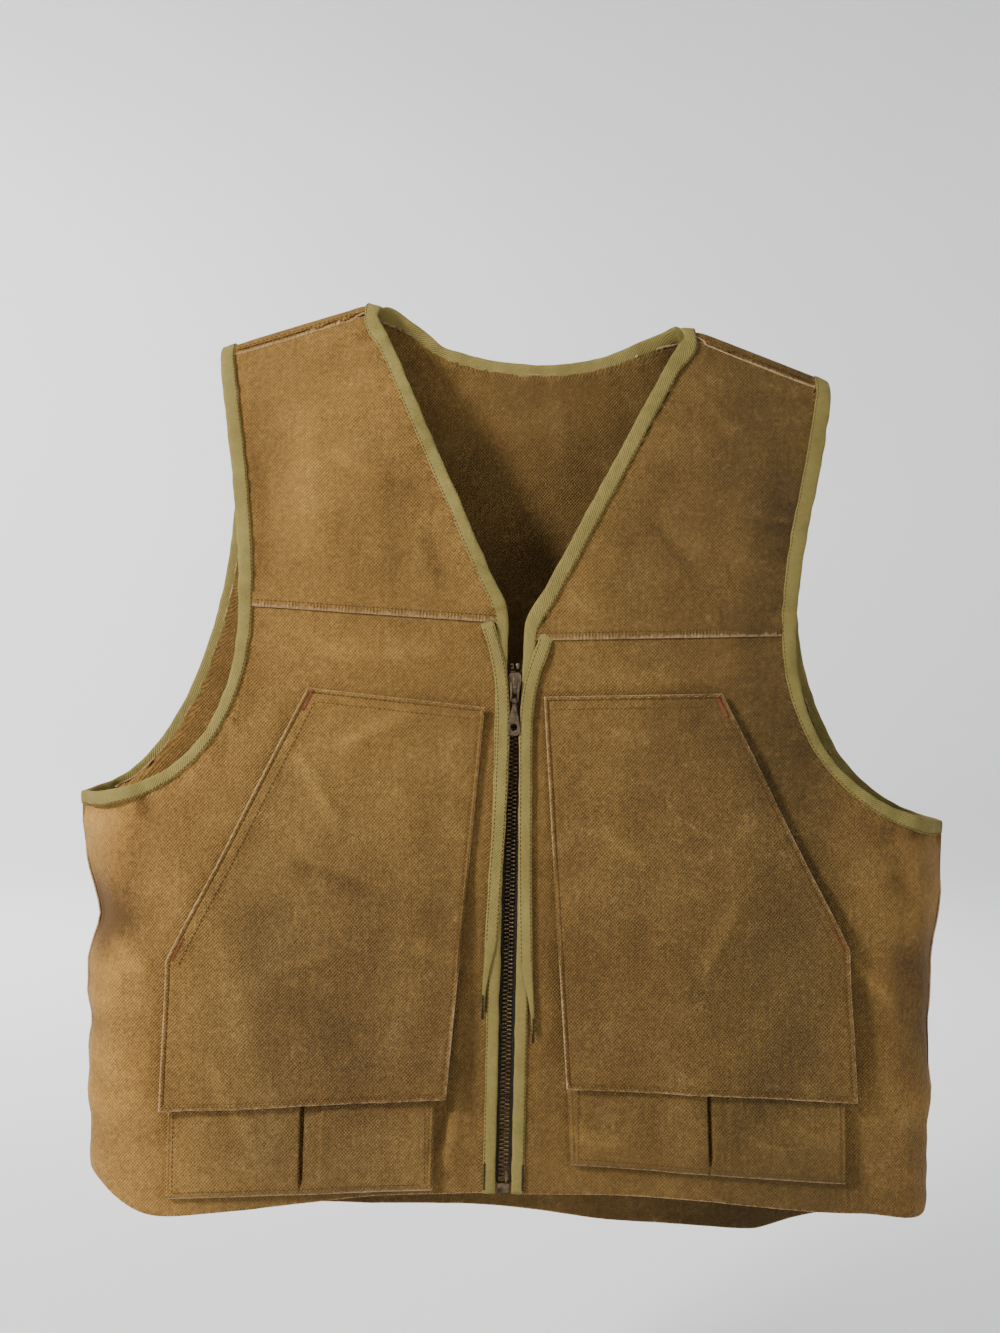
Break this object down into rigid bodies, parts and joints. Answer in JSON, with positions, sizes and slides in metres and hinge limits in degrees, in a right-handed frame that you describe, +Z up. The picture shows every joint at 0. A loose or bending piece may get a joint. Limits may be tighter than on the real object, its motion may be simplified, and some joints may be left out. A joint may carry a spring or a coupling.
{
  "type": "fishing vest",
  "caption": "Sleeveless waxed-canvas vest with a metal front zip, bound edges, slanted hand pockets and lower pockets under lifting flaps.",
  "frame": {"origin": "where a hanger holds the vest: midway between the two neck points, at their height, between the front and back cloth", "axes": "+Z up, -Y the front of the vest, +X towards the wearer's left"},
  "size_m": [0.5922, 0.0864, 0.6497],
  "materials": {
    "canvas": "worn waxed cotton duck, tan brown with darker and olive patches",
    "binding": "olive khaki cotton twill tape",
    "zip_tape": "dark brown woven cotton tape",
    "zip_metal": "tarnished dark brass"
  },
  "bodies": {
    "vest": {"back_panel": "canvas", "neck_binding": "binding", "right_yoke": "canvas", "right_front_panel": "canvas", "right_armhole_binding": "binding", "right_placket_binding": "binding", "right_hand_pocket": "canvas", "right_lower_pocket": "canvas", "right_front_binding": "binding", "right_zip_tape": "zip_tape", "right_zip_teeth": "zip_metal", "right_top_stop": "zip_metal", "left_yoke": "canvas", "left_front_panel": "canvas", "left_armhole_binding": "binding", "left_placket_binding": "binding", "left_hand_pocket": "canvas", "left_lower_pocket": "canvas", "left_front_binding": "binding", "left_zip_tape": "zip_tape", "left_zip_teeth": "zip_metal", "left_top_stop": "zip_metal", "zip_retainer_box": "zip_metal", "zip_insertion_pin": "zip_metal"},
    "slider": {"zip_slider": "zip_metal"},
    "link": {"pull_link": "zip_metal"},
    "pull": {"pull_leaf": "zip_metal"},
    "right_flap": {"right_pocket_flap": "canvas"},
    "left_flap": {"left_pocket_flap": "canvas"}
  },
  "joints": [
    {"name": "zip_slide", "type": "slide", "parent": "vest", "child": "slider", "axis": [-0.0233, -0.0318, -0.9992], "range_m": [0, 0.32]},
    {"name": "link_swing", "type": "hinge", "parent": "slider", "child": "link", "pos_m": [0.00079, -0.03555, -0.25386], "axis": [-0.9997, 0.0007, 0.0233], "range_deg": [0, 100]},
    {"name": "pull_swing", "type": "hinge", "parent": "link", "child": "pull", "pos_m": [0.00052, -0.03593, -0.26565], "axis": [-0.9997, 0.0007, 0.0233], "range_deg": [0, 70]},
    {"name": "right_flap_lift", "type": "hinge", "parent": "vest", "child": "right_flap", "pos_m": [-0.13117, -0.04619, -0.43691], "axis": [-1, 0, 0], "range_deg": [0, 120]},
    {"name": "left_flap_lift", "type": "hinge", "parent": "vest", "child": "left_flap", "pos_m": [0.12408, -0.04597, -0.42991], "axis": [-1, 0, 0], "range_deg": [0, 120]}
  ]
}
